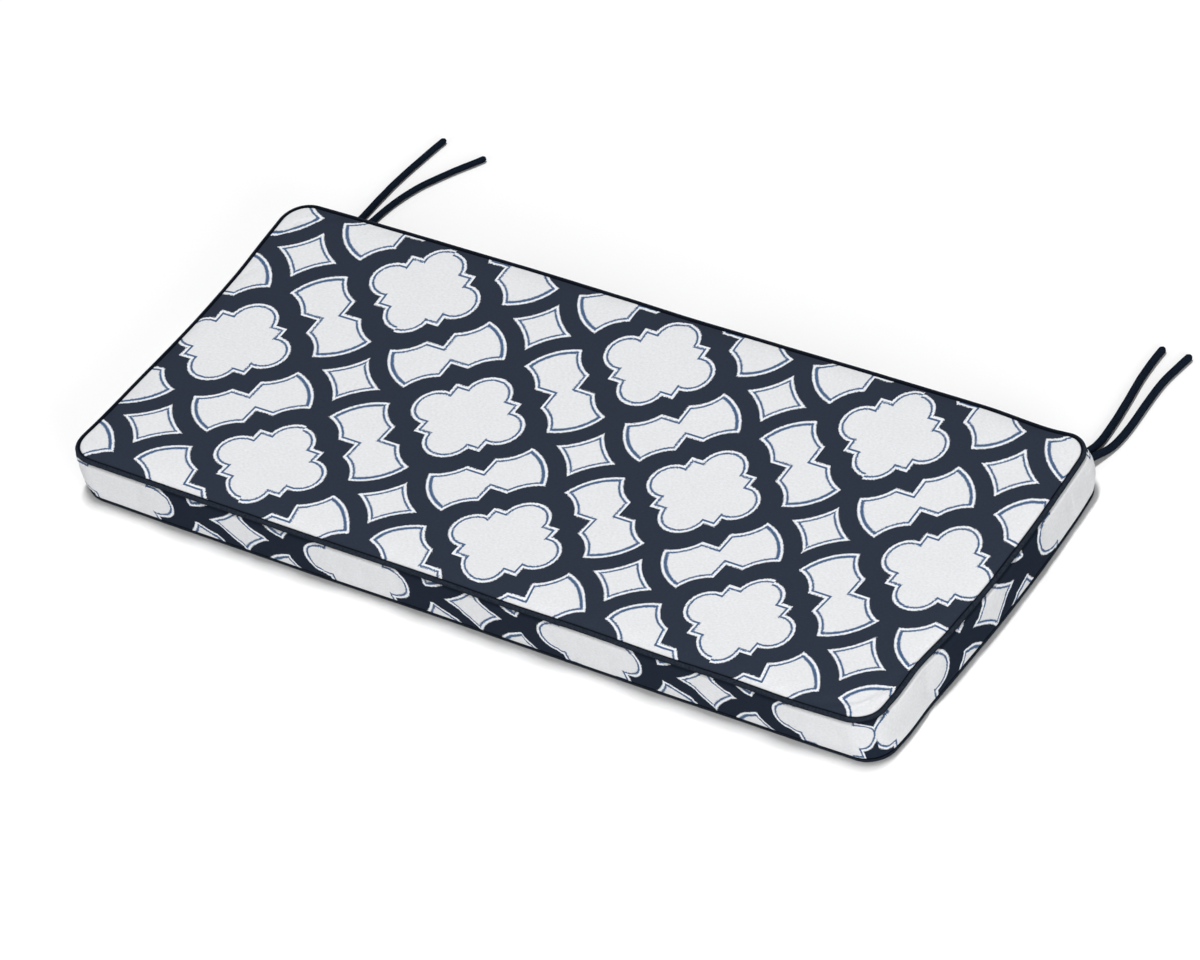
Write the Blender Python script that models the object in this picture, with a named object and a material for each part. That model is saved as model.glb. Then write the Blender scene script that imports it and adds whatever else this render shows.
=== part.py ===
"""Box-edged bench cushion: a filled pad with corded piping round both edges and two pairs of ties at the back.

X runs along the cushion, +Y points to its back edge, where the ties are, and +Z points up. The pad lies on z = 0,
and the origin is under the middle of its footprint.
"""

import math

import bmesh
import bpy
import numpy as np
from mathutils import Vector
from mathutils.geometry import interpolate_bezier

# Driving dimensions, in metres.
LENGTH = 1.2192  # 48 inches between the piping's centrelines, along X
WIDTH = 0.508  # 20 inches between the piping's centrelines, along Y
EDGE_HEIGHT = 0.0645  # from the bottom piping's centreline to the top piping's
PIPING_RADIUS = 0.0035
GAP = 0.0003  # left between pieces that touch

# Plan radii of the sewn corners, in the order back left, front left, front right, back right.
TOP_CORNERS = (0.038, 0.044, 0.034, 0.032)
BOTTOM_CORNERS = (0.038, 0.046, 0.030, 0.032)

# How the filled cover leaves the true rectangle.
BOW = 0.010  # both short sides lean towards +X at mid width
SKEW = 0.004  # the front edge lies this much nearer +X than the back one
SIDE_DIP = 0.003  # the top piping sags this much at the middle of a short side
BOXING_OVERHANG = 0.0044  # the boxing strip outside the piping's centreline, at its two seams
BOXING_BULGE = 0.0016  # how much further out it is at mid height
CORNER_BULGE = 0.0040  # extra fullness of the boxing at the back right corner
CORNER_REACH = 0.035
PANEL_LIP = 0.0019  # rise of the top panel from its seam to the flat of the panel
LIP_LENGTH = 0.006
CROWN = 0.0020

# How far each seam eases out (+) or in (-) from its straight edge, in millimetres. The place runs from -1 to 1 along
# Y on the short sides and along X on the long ones.
SEAM_EASE = {
    # side: rows of (place, top seam, bottom seam)
    "left": (
        (-0.97, -0.4, 0.0), (-0.82, -4.6, 0.0), (-0.38, -2.3, 0.0), (0.08, -3.3, 0.0), (0.40, -2.9, 0.0),
        (0.72, -0.5, 0.0), (0.95, -0.4, 0.0),
    ),
    "right": (
        (-0.95, 2.4, 2.6), (-0.82, 0.5, 3.0), (-0.56, -4.4, -1.0), (-0.30, -0.8, -0.8), (0.05, 1.0, 0.4),
        (0.40, 0.8, 0.6), (0.70, 0.3, 0.1), (0.95, 0.5, -1.8),
    ),
    "front": (
        (-0.95, -1.2, -1.6), (-0.70, -0.5, -0.5), (-0.35, 0.0, 0.1), (-0.05, -0.9, -1.0), (0.16, 0.4, -0.5),
        (0.32, -0.5, -0.3), (0.52, 0.8, -0.3), (0.68, -0.5, -1.2), (0.82, 0.7, -1.2), (0.97, -2.0, -2.4),
    ),
    "back": (
        (-0.95, -4.1, 0.0), (-0.80, -2.9, 0.0), (-0.60, -1.7, 0.0), (-0.35, -0.6, 0.0), (-0.13, -1.2, 0.0),
        (0.03, -2.6, 0.0), (0.25, -1.7, 0.0), (0.50, -0.3, 0.0), (0.74, 0.0, 0.0), (0.90, -4.4, 0.0),
        (0.98, -1.4, 0.0),
    ),
}
MM = 0.001

# Puts the origin under the middle of the footprint.
PLAN_SHIFT = Vector((-0.00796, -0.00025))

# Points round the plan outline, and round each profile.
CORNER_STEPS = 8
LONG_STEPS = 20
SHORT_STEPS = 10
PIPING_SIDES = 10
BOXING_STEPS = 6
COVE_STEP_DEG = 30.0
PANEL_INSETS = (0.005, 0.009, 0.016, 0.025)  # rings of the top panel, from the piping's centreline

COVE_RADIUS = (PIPING_RADIUS + GAP) / math.cos(math.radians(COVE_STEP_DEG / 2))
PIPING_BOTTOM_Z = PIPING_RADIUS + GAP
PIPING_TOP_Z = PIPING_BOTTOM_Z + EDGE_HEIGHT
BOTTOM_INSET = 0.0055  # where the flat underside ends, in from the piping's centreline
BOXING_LOW_RISE = 1.7 * PIPING_RADIUS  # from the bottom piping's centreline to where the boxing stands proud of it
BOXING_HIGH_DROP = 2.0 * PIPING_RADIUS  # from the top piping's centreline down to the same

# Where the coves that hold the piping start and end, in degrees round the cord from straight out, up being 90.
TOP_SEAM_DEG = 148.0
TOP_COVE_DEG = (-60.0, TOP_SEAM_DEG - 360.0)
BOTTOM_COVE_DEG = (220.0, 60.0)

# Each tie is a narrow tube that was turned and pressed by hand, so the pairs differ a little in thickness.
TIE_RADII = {"tie_left_a": 0.0045, "tie_left_b": 0.0043, "tie_right_a": 0.0050, "tie_right_b": 0.0050}

# Each tie's route, from its seam in the boxing to its cut end: (x, y, z).
TIE_ROUTES = {
    "tie_left_a": (
        (-0.5720, 0.2592, 0.0120), (-0.5719, 0.2657, 0.0118), (-0.5718, 0.2738, 0.0109),
        (-0.5718, 0.2827, 0.0092), (-0.5717, 0.2917, 0.0072), (-0.5716, 0.3007, 0.0056),
        (-0.5716, 0.3107, 0.0048), (-0.5717, 0.3217, 0.0047), (-0.5717, 0.3338, 0.0047),
        (-0.5717, 0.3467, 0.0047), (-0.5713, 0.3607, 0.0047), (-0.5709, 0.3747, 0.0047),
        (-0.5699, 0.3887, 0.0047), (-0.5686, 0.4027, 0.0047), (-0.5671, 0.4157, 0.0047),
        (-0.5654, 0.4277, 0.0047), (-0.5638, 0.4407, 0.0047), (-0.5619, 0.4537, 0.0047),
        (-0.5599, 0.4667, 0.0047), (-0.5576, 0.4792, 0.0047),
    ),
    "tie_left_b": (
        (-0.5605, 0.2592, 0.0120), (-0.5600, 0.2657, 0.0118), (-0.5593, 0.2738, 0.0109),
        (-0.5583, 0.2827, 0.0092), (-0.5570, 0.2917, 0.0072), (-0.5556, 0.3007, 0.0056),
        (-0.5540, 0.3107, 0.0048), (-0.5525, 0.3227, 0.0047), (-0.5506, 0.3348, 0.0047),
        (-0.5479, 0.3477, 0.0047), (-0.5448, 0.3597, 0.0047), (-0.5408, 0.3717, 0.0047),
        (-0.5357, 0.3847, 0.0047), (-0.5298, 0.3968, 0.0047), (-0.5233, 0.4077, 0.0047),
        (-0.5159, 0.4197, 0.0047), (-0.5075, 0.4327, 0.0047), (-0.4990, 0.4447, 0.0047),
        (-0.4910, 0.4557, 0.0047), (-0.4825, 0.4682, 0.0047),
    ),
    "tie_right_a": (
        (0.5591, 0.2595, 0.0124), (0.5602, 0.2657, 0.0122), (0.5614, 0.2738, 0.0113),
        (0.5629, 0.2827, 0.0096), (0.5643, 0.2917, 0.0076), (0.5653, 0.3007, 0.0060),
        (0.5657, 0.3107, 0.0052), (0.5654, 0.3227, 0.0051), (0.5646, 0.3348, 0.0051),
        (0.5635, 0.3477, 0.0051), (0.5621, 0.3607, 0.0051), (0.5604, 0.3747, 0.0051),
        (0.5585, 0.3887, 0.0051), (0.5565, 0.4027, 0.0051), (0.5546, 0.4157, 0.0051),
        (0.5532, 0.4277, 0.0051), (0.5523, 0.4407, 0.0051), (0.5517, 0.4537, 0.0051),
        (0.5515, 0.4677, 0.0051), (0.5517, 0.4812, 0.0051),
    ),
    "tie_right_b": (
        (0.5701, 0.2600, 0.0124), (0.5717, 0.2657, 0.0122), (0.5739, 0.2738, 0.0113),
        (0.5767, 0.2827, 0.0096), (0.5797, 0.2917, 0.0076), (0.5823, 0.3007, 0.0060),
        (0.5845, 0.3107, 0.0052), (0.5859, 0.3227, 0.0051), (0.5864, 0.3348, 0.0051),
        (0.5861, 0.3477, 0.0051), (0.5854, 0.3607, 0.0051), (0.5845, 0.3747, 0.0051),
        (0.5836, 0.3887, 0.0051), (0.5828, 0.4027, 0.0051), (0.5824, 0.4157, 0.0051),
        (0.5826, 0.4277, 0.0051), (0.5837, 0.4407, 0.0051), (0.5856, 0.4537, 0.0051),
        (0.5878, 0.4677, 0.0051), (0.5901, 0.4812, 0.0051),
    ),
}
TIE_POINT_SPACING = 0.019  # along the tube, a little over two diameters


def clear_scene():
    """Empties the open file, so that only the cushion is left in it."""
    for obj in list(bpy.data.objects):
        bpy.data.objects.remove(obj, do_unlink=True)


def make_material(name, colour, roughness):
    """A plain cloth-like material."""
    material = bpy.data.materials.new(name)
    material.use_nodes = True
    shader = material.node_tree.nodes["Principled BSDF"]
    shader.inputs["Base Color"].default_value = (*colour, 1.0)
    shader.inputs["Roughness"].default_value = roughness
    shader.inputs["Metallic"].default_value = 0.0
    material.diffuse_color = (*colour, 1.0)
    return material


def corner_centres(radii):
    """Centre, radius and first angle of each corner arc, anticlockwise from the back left one."""
    signs = ((-1, 1, 90), (-1, -1, 180), (1, -1, 270), (1, 1, 0))
    for (sx, sy, start), radius in zip(signs, radii):
        centre = (sx * (LENGTH / 2 - radius), sy * (WIDTH / 2 - radius))
        yield centre, radius, math.radians(start)


def plan_outline(radii, offset):
    """The rounded rectangle, grown outwards by offset, starting half way round the back left corner."""
    arcs = []
    for (cx, cy), radius, start in corner_centres(radii):
        angles = [start + math.pi / 2 * i / CORNER_STEPS for i in range(CORNER_STEPS + 1)]
        arcs.append([(cx + (radius + offset) * math.cos(a), cy + (radius + offset) * math.sin(a)) for a in angles])
    points = []
    for index, arc in enumerate(arcs):
        steps = SHORT_STEPS if index % 2 == 0 else LONG_STEPS
        (x0, y0), (x1, y1) = arc[-1], arcs[(index + 1) % 4][0]
        side = [(x0 + (x1 - x0) * i / steps, y0 + (y1 - y0) * i / steps) for i in range(1, steps)]
        points += arc + side
    half = CORNER_STEPS // 2
    return points[half:] + points[:half]


def across(y):
    """-1 at the front edge, 1 at the back one."""
    return max(-1.0, min(1.0, 2 * y / WIDTH))


def along(x):
    """-1 at the left end, 1 at the right one."""
    return max(-1.0, min(1.0, 2 * x / LENGTH))


def ease(side, place, top_share):
    """How far a side's edge eases out at this place, in metres, between its bottom seam and its top one."""
    rows = SEAM_EASE[side]
    place = max(rows[0][0], min(rows[-1][0], place))
    for (place_a, top_a, bottom_a), (place_b, top_b, bottom_b) in zip(rows, rows[1:]):
        if place <= place_b:
            share = (place - place_a) / (place_b - place_a)
            share = share * share * (3 - 2 * share)
            top = top_a + (top_b - top_a) * share
            bottom = bottom_a + (bottom_b - bottom_a) * share
            return MM * (bottom + (top - bottom) * top_share)
    return 0.0


def settled(x, y, z, top_share):
    """A point of the true box, moved to where it lies in the filled cover."""
    u, v = along(x), across(y)
    lean = BOW * (1 - v ** 2) + SKEW * (1 - v) / 2
    ease_x = ease("right", v, top_share) * ((1 + u) / 2) ** 2 - ease("left", v, top_share) * ((1 - u) / 2) ** 2
    ease_y = ease("back", u, top_share) * ((1 + v) / 2) ** 2 - ease("front", u, top_share) * ((1 - v) / 2) ** 2
    dip = SIDE_DIP * (1 - v ** 2) * u ** 4 * top_share
    return Vector((x + lean + ease_x + PLAN_SHIFT.x, y + ease_y + PLAN_SHIFT.y, z - dip))


def crown(x, y):
    """Height of the top panel's dome over its own edge."""
    return CROWN * (1 - abs(across(y)) ** 3) * (1 - abs(along(x)) ** 5)


def lip(inset):
    """Rise of the top panel at this distance in from the piping's centreline."""
    seam_height = COVE_RADIUS * math.sin(math.radians(TOP_SEAM_DEG))
    seam_inset = -COVE_RADIUS * math.cos(math.radians(TOP_SEAM_DEG))
    return seam_height + PANEL_LIP * (1 - math.exp((seam_inset - inset) / LIP_LENGTH))


def ring(radii, offset, z, top_share):
    """One closed loop of points at a height, following the outline grown by offset."""
    return [settled(x, y, z, top_share) for x, y in plan_outline(radii, offset)]


def blended_corners(share):
    """Corner radii at this share of the height, 0 at the bottom seam."""
    return tuple(low + (high - low) * share for low, high in zip(BOTTOM_CORNERS, TOP_CORNERS))


def cove(radii, centre_z, span, top_share):
    """Loops that run round a length of piping with a gap to it."""
    first, last = span
    steps = max(1, round(abs(last - first) / COVE_STEP_DEG))
    loops = []
    for i in range(steps + 1):
        angle = math.radians(first + (last - first) * i / steps)
        loops.append(ring(radii, COVE_RADIUS * math.cos(angle), centre_z + COVE_RADIUS * math.sin(angle), top_share))
    return loops


def boxing_loops():
    """Loops of the boxing strip, from just over the bottom piping to just under the top one."""
    low = PIPING_BOTTOM_Z + BOXING_LOW_RISE
    high = PIPING_TOP_Z - BOXING_HIGH_DROP
    corner = Vector((LENGTH / 2, WIDTH / 2))
    loops = []
    for i in range(BOXING_STEPS + 1):
        share = i / BOXING_STEPS
        swell = math.sin(math.pi * share)
        radii = blended_corners(share)
        z = low + (high - low) * share
        inner = plan_outline(radii, BOXING_OVERHANG + BOXING_BULGE * swell)
        outer = plan_outline(radii, BOXING_OVERHANG + (BOXING_BULGE + CORNER_BULGE) * swell)
        loop = []
        for (x0, y0), (x1, y1) in zip(inner, outer):
            near = math.exp(-((corner - Vector((x0, y0))).length / CORNER_REACH) ** 2)
            loop.append(settled(x0 + (x1 - x0) * near, y0 + (y1 - y0) * near, z, share))
        loops.append(loop)
    return loops


def panel_loops():
    """Loops of the top panel near its seam."""
    loops = []
    for inset in PANEL_INSETS:
        outline = plan_outline(TOP_CORNERS, -inset)
        loops.append([settled(x, y, PIPING_TOP_Z + lip(inset) + crown(x, y), 1.0) for x, y in outline])
    return loops


def coons(front, back, left, right):
    """Plan points of a grid stretched between four sides: front and back run in u, left and right in v."""
    nu, nv = len(front) - 1, len(left) - 1
    grid = []
    for j in range(nv + 1):
        v = j / nv
        row = []
        for i in range(nu + 1):
            u = i / nu
            ruled = (1 - v) * front[i] + v * back[i] + (1 - u) * left[j] + u * right[j]
            corners = ((1 - u) * (1 - v) * front[0] + u * (1 - v) * front[-1]
                       + (1 - u) * v * back[0] + u * v * back[-1])
            row.append(ruled - corners)
        grid.append(row)
    return grid


def add_panel_grid(bm, rim):
    """Fills the top panel inside its last loop of vertices with a grid."""
    outline = [Vector(point) for point in plan_outline(TOP_CORNERS, -PANEL_INSETS[-1])]
    short = SHORT_STEPS + CORNER_STEPS
    long_ = LONG_STEPS + CORNER_STEPS
    corners = (0, short, short + long_, 2 * short + long_)
    order = list(range(len(outline))) + [0]
    left = order[corners[0]:corners[1] + 1][::-1]
    front = order[corners[1]:corners[2] + 1]
    right = order[corners[2]:corners[3] + 1]
    back = order[corners[3]:][::-1]
    sides = [[outline[i] for i in side] for side in (front, back, left, right)]
    plan = coons(*sides)
    verts = []
    for j, row in enumerate(plan):
        line = []
        for i, point in enumerate(row):
            if j == 0:
                line.append(rim[front[i]])
            elif j == short:
                line.append(rim[back[i]])
            elif i == 0:
                line.append(rim[left[j]])
            elif i == long_:
                line.append(rim[right[j]])
            else:
                z = PIPING_TOP_Z + lip(PANEL_INSETS[-1]) + crown(*point)
                line.append(bm.verts.new(settled(point.x, point.y, z, 1.0)))
        verts.append(line)
    for j in range(short):
        for i in range(long_):
            bm.faces.new((verts[j][i], verts[j][i + 1], verts[j + 1][i + 1], verts[j + 1][i]))


def bridge(bm, lower, upper):
    """Joins two loops of vertices with quads."""
    count = len(lower)
    for i in range(count):
        j = (i + 1) % count
        bm.faces.new((lower[i], lower[j], upper[j], upper[i]))


def finish_object(name, bm, material):
    """Turns the bmesh into an object with its faces pointing out."""
    bmesh.ops.recalc_face_normals(bm, faces=bm.faces)
    mesh = bpy.data.meshes.new(name)
    bm.to_mesh(mesh)
    bm.free()
    mesh.shade_smooth()
    mesh.set_sharp_from_angle(angle=math.radians(50))
    mesh.materials.append(material)
    obj = bpy.data.objects.new(name, mesh)
    bpy.context.scene.collection.objects.link(obj)
    return obj


def make_pad(material):
    """The filled pad: flat underside, boxing strip with a cove at each seam, and crowned top panel."""
    loops = [ring(BOTTOM_CORNERS, -BOTTOM_INSET, 0.0, 0.0)]
    loops += cove(BOTTOM_CORNERS, PIPING_BOTTOM_Z, BOTTOM_COVE_DEG, 0.0)
    loops += boxing_loops()
    loops += cove(TOP_CORNERS, PIPING_TOP_Z, TOP_COVE_DEG, 1.0)
    loops += panel_loops()
    bm = bmesh.new()
    rows = [[bm.verts.new(point) for point in loop] for loop in loops]
    for lower, upper in zip(rows, rows[1:]):
        bridge(bm, lower, upper)
    bm.faces.new(rows[0])
    add_panel_grid(bm, rows[-1])
    return finish_object("cushion", bm, material)


def make_piping(name, radii, centre_z, top_share, material):
    """A closed ring of corded piping."""
    bm = bmesh.new()
    rows = []
    for i in range(PIPING_SIDES):
        angle = 2 * math.pi * i / PIPING_SIDES
        loop = ring(radii, PIPING_RADIUS * math.cos(angle), centre_z + PIPING_RADIUS * math.sin(angle), top_share)
        rows.append([bm.verts.new(point) for point in loop])
    for i in range(PIPING_SIDES):
        bridge(bm, rows[i], rows[(i + 1) % PIPING_SIDES])
    return finish_object(name, bm, material)


def smooth_route(points):
    """Dense points along one smooth curve through the route's own points."""
    knots = [Vector(point) for point in points]
    tangents = [(knots[min(i + 1, len(knots) - 1)] - knots[max(i - 1, 0)]) / 2 for i in range(len(knots))]
    dense = [knots[0]]
    for i in range(len(knots) - 1):
        handle_a = knots[i] + tangents[i] / 3
        handle_b = knots[i + 1] - tangents[i + 1] / 3
        dense += interpolate_bezier(knots[i], handle_a, handle_b, knots[i + 1], 9)[1:]
    return np.array([tuple(point) for point in dense])


def even_points(dense, spacing):
    """Points evenly spaced along a dense line, from its first point to its last."""
    travelled = np.concatenate([[0.0], np.cumsum(np.linalg.norm(np.diff(dense, axis=0), axis=1))])
    count = max(2, round(travelled[-1] / spacing) + 1)
    stops = np.linspace(0.0, travelled[-1], count)
    return np.stack([np.interp(stops, travelled, dense[:, axis]) for axis in range(3)], axis=1)


def make_tie(name, route, material):
    """A narrow fabric tube along its route, with filled ends."""
    points = even_points(smooth_route(route), TIE_POINT_SPACING)
    curve = bpy.data.curves.new(name, "CURVE")
    curve.dimensions = "3D"
    curve.bevel_depth = TIE_RADII[name]
    curve.bevel_resolution = 2
    curve.use_fill_caps = True
    spline = curve.splines.new("POLY")
    spline.points.add(len(points) - 1)
    for target, point in zip(spline.points, points):
        target.co = (*point, 1.0)
    curve.materials.append(material)
    obj = bpy.data.objects.new(name, curve)
    bpy.context.scene.collection.objects.link(obj)
    return obj


def main():
    """Builds the cushion."""
    clear_scene()
    cloth = make_material("printed_cloth", (0.80, 0.81, 0.83), 0.9)
    piping_cloth = make_material("piping_cloth", (0.012, 0.018, 0.030), 0.85)
    tie_cloth = make_material("tie_cloth", (0.004, 0.008, 0.017), 0.9)
    make_pad(cloth)
    make_piping("piping_bottom", BOTTOM_CORNERS, PIPING_BOTTOM_Z, 0.0, piping_cloth)
    make_piping("piping_top", TOP_CORNERS, PIPING_TOP_Z, 1.0, piping_cloth)
    for name, route in TIE_ROUTES.items():
        make_tie(name, route, tie_cloth)


main()
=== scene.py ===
"""Dresses the bench cushion: the printed cover, the corded piping and the cloth ties.

Lengths are in metres in the frame's axes: X along the cushion, +Y to its back edge, +Z up. The cover
is described twice: as a true box with rounded corners, in which sizes are plain, and as it lies when it
is filled, in which every seam eases a few millimetres.
"""

from __future__ import annotations

import logging
import math
from dataclasses import dataclass, field
from enum import Enum, IntEnum
from functools import partial, reduce

import bpy
import numpy as np
from mathutils import Matrix, Vector
from mathutils.geometry import interpolate_bezier
from mathutils.kdtree import KDTree

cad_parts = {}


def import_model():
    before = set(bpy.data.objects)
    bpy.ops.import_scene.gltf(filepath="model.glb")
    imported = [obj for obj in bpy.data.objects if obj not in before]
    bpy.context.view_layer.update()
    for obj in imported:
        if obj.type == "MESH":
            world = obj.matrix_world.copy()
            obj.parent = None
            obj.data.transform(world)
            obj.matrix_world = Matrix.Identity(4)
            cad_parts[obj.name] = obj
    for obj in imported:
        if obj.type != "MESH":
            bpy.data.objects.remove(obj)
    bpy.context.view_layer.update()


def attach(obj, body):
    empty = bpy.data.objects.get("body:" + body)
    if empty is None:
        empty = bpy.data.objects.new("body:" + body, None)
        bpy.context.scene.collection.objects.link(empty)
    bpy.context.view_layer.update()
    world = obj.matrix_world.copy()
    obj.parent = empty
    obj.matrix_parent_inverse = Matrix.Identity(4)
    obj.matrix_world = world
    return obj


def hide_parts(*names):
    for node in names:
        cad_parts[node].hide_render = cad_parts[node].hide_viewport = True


LOG = logging.getLogger("bench_cushion")
MM = 0.001
BODY = "root"

Pair = tuple[float, float]
Triple = tuple[float, float, float]
Radii = tuple[float, ...]  # back left, front left, front right, back right
Socket = bpy.types.NodeSocket
Key = str | int
Value = object  # a signal or a plain value


class Side(Enum):
    """The four sides of the cushion."""

    LEFT = "left"
    RIGHT = "right"
    FRONT = "front"
    BACK = "back"


class Region(IntEnum):
    """The panels of the cover, which are printed cloth cut in different places."""

    TOP = 0
    BOXING = 1
    BOTTOM = 2


class Slot(Enum):
    """Material slot names for the three cloths."""

    COVER = "printed_cloth"
    PIPING = "piping_cloth"
    TIE = "tie_cloth"


# How far each seam eases out (+) or in (-) from its straight edge, in millimetres. The place runs from
# -1 to 1 along Y on the short sides and along X on the long ones.
SEAM_EASE = {
    # side: rows of (place, top seam, bottom seam)
    Side.LEFT: (
        (-0.97, -0.4, 0.0), (-0.82, -4.6, 0.0), (-0.38, -2.3, 0.0), (0.08, -3.3, 0.0),
        (0.40, -2.9, 0.0), (0.72, -0.5, 0.0), (0.95, -0.4, 0.0),
    ),
    Side.RIGHT: (
        (-0.95, 2.4, 2.6), (-0.82, 0.5, 3.0), (-0.56, -4.4, -1.0), (-0.30, -0.8, -0.8),
        (0.05, 1.0, 0.4), (0.40, 0.8, 0.6), (0.70, 0.3, 0.1), (0.95, 0.5, -1.8),
    ),
    Side.FRONT: (
        (-0.95, -1.2, -1.6), (-0.70, -0.5, -0.5), (-0.35, 0.0, 0.1), (-0.05, -0.9, -1.0),
        (0.16, 0.4, -0.5), (0.32, -0.5, -0.3), (0.52, 0.8, -0.3), (0.68, -0.5, -1.2),
        (0.82, 0.7, -1.2), (0.97, -2.0, -2.4),
    ),
    Side.BACK: (
        (-0.95, -4.1, 0.0), (-0.80, -2.9, 0.0), (-0.60, -1.7, 0.0), (-0.35, -0.6, 0.0),
        (-0.13, -1.2, 0.0), (0.03, -2.6, 0.0), (0.25, -1.7, 0.0), (0.50, -0.3, 0.0),
        (0.74, 0.0, 0.0), (0.90, -4.4, 0.0), (0.98, -1.4, 0.0),
    ),
}


def add_object(name: str, data: bpy.types.ID) -> bpy.types.Object:
    """Adds an object to the scene.

    Args:
        name: The object's name.
        data: Its mesh, light or camera.

    Returns:
        The object.
    """
    added = bpy.data.objects.new(name, data)
    bpy.context.scene.collection.objects.link(added)
    return added


def smooth_step(value: np.ndarray) -> np.ndarray:
    """Rises smoothly from 0 at 0 to 1 at 1."""
    value = np.clip(value, 0, 1)
    return value * value * (3 - 2 * value)


@dataclass(frozen=True)
class CoverShape:
    """Sizes and shape of the sewn cover."""

    length: float = 1.2192
    width: float = 0.508
    edge_height: float = 0.0645
    piping_radius: float = 0.0035
    gap: float = 0.0003
    top_corners: Radii = (0.038, 0.044, 0.034, 0.032)
    bottom_corners: Radii = (0.038, 0.046, 0.030, 0.032)
    bow: float = 0.010
    skew: float = 0.004
    side_dip: float = 0.003
    overhang: float = 0.0044
    bulge: float = 0.0010
    corner_bulge: float = 0.0040
    corner_reach: float = 0.035
    shoulder_rise: float = 0.0010
    shoulder_length: float = 0.009
    crown: float = 0.0010
    top_seam_deg: float = 148.0
    bottom_inset: float = 0.0055
    plan_shift: Pair = (-0.00796, -0.00025)
    long_steps: int = 190
    short_steps: int = 80
    corner_steps: int = 12

    @property
    def bottom_z(self) -> float:
        """Height of the bottom piping's centreline."""
        return self.piping_radius + self.gap

    @property
    def top_z(self) -> float:
        """Height of the top piping's centreline."""
        return self.bottom_z + self.edge_height

    @property
    def cove_radius(self) -> float:
        """Radius of the hollow in which the piping lies."""
        return self.piping_radius + 0.5 * self.gap

    def outline(self, radii: Radii, offset: float) -> np.ndarray:
        """The rounded rectangle grown outwards, anticlockwise from the middle of the back left corner.

        Args:
            radii: The four corner radii.
            offset: How far the outline is grown, negative to shrink it.

        Returns:
            Points of the true box, one row of x and y each.
        """
        signs = ((-1, 1, 90.0), (-1, -1, 180.0), (1, -1, 270.0), (1, 1, 0.0))
        arcs = []
        for (side_x, side_y, start), radius in zip(signs, radii):
            turn = np.radians(start + 90.0 * np.arange(self.corner_steps + 1) / self.corner_steps)
            centre = np.array((side_x * (self.length / 2 - radius), side_y * (self.width / 2 - radius)))
            reach = radius + offset
            arcs.append(centre + reach * np.stack((np.cos(turn), np.sin(turn)), axis=1))
        rows = []
        for index, arc in enumerate(arcs):
            steps = self.short_steps if index % 2 == 0 else self.long_steps
            share = (np.arange(1, steps) / steps)[:, None]
            rows += [arc, arc[-1] * (1 - share) + arcs[(index + 1) % 4][0] * share]
        points = np.concatenate(rows)
        return np.roll(points, -(self.corner_steps // 2), axis=0)

    def ease(self, side: Side, place: np.ndarray, top_share: float) -> np.ndarray:
        """How far a side's edge eases out at each place.

        Args:
            side: The side of the cushion.
            place: Places along the side, from -1 to 1.
            top_share: 0 at the bottom seam, 1 at the top one.

        Returns:
            Distances in metres, positive outwards.
        """
        rows = np.array(SEAM_EASE[side])
        place = np.clip(place, rows[0, 0], rows[-1, 0])
        index = np.clip(np.searchsorted(rows[:, 0], place) - 1, 0, len(rows) - 2)
        share = smooth_step((place - rows[index, 0]) / (rows[index + 1, 0] - rows[index, 0]))
        low = rows[index, 1:] * (1 - share)[:, None] + rows[index + 1, 1:] * share[:, None]
        return MM * (low[:, 1] + (low[:, 0] - low[:, 1]) * top_share)

    def settle(self, plan: np.ndarray, height: np.ndarray | float, top_share: float) -> np.ndarray:
        """Moves points of the true box to where they lie in the filled cover.

        Args:
            plan: Points of the true box, x and y.
            height: Their heights over the floor.
            top_share: 0 at the bottom seam, 1 at the top one.

        Returns:
            Points in the frame.
        """
        along = np.clip(2 * plan[:, 0] / self.length, -1, 1)
        across = np.clip(2 * plan[:, 1] / self.width, -1, 1)
        lean = self.bow * (1 - across ** 2) + self.skew * (1 - across) / 2
        right = self.ease(Side.RIGHT, across, top_share) * ((1 + along) / 2) ** 2
        left = self.ease(Side.LEFT, across, top_share) * ((1 - along) / 2) ** 2
        back = self.ease(Side.BACK, along, top_share) * ((1 + across) / 2) ** 2
        front = self.ease(Side.FRONT, along, top_share) * ((1 - across) / 2) ** 2
        dip = self.side_dip * (1 - across ** 2) * along ** 4 * top_share
        x = plan[:, 0] + lean + right - left + self.plan_shift[0]
        y = plan[:, 1] + back - front + self.plan_shift[1]
        return np.stack((x, y, height - dip), axis=1)

    def panel_height(self, plan: np.ndarray, inset: np.ndarray | float) -> np.ndarray:
        """Height of the top panel, with its rounded shoulder and its low crown.

        Args:
            plan: Points of the true box, x and y.
            inset: How far they lie inside the top seam.

        Returns:
            Heights over the floor.
        """
        along = np.clip(2 * np.abs(plan[:, 0]) / self.length, 0, 1)
        across = np.clip(2 * np.abs(plan[:, 1]) / self.width, 0, 1)
        seam = math.radians(self.top_seam_deg)
        start = -self.cove_radius * math.cos(seam)
        shoulder = self.shoulder_rise * (1 - np.exp((start - inset) / self.shoulder_length))
        dome = self.crown * (1 - across ** 3) * (1 - along ** 5)
        return self.top_z + self.cove_radius * math.sin(seam) + shoulder + dome

    def blended_corners(self, share: float) -> Radii:
        """Corner radii at this share of the height, 0 at the bottom seam."""
        return tuple(a + (b - a) * share for a, b in zip(self.bottom_corners, self.top_corners))


def coming_in(place: np.ndarray, zone: Pair) -> np.ndarray:
    """Share of a slide at each place, where the zone is its start and its reach."""
    return smooth_step((place - zone[0]) / zone[1])


def print_units(distance: np.ndarray, pitch: float, stretch: float) -> np.ndarray:
    """Solves distance = pitch * n - stretch * n * n for n."""
    return (pitch - np.sqrt(pitch * pitch - 4 * stretch * distance)) / (2 * stretch)


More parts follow.
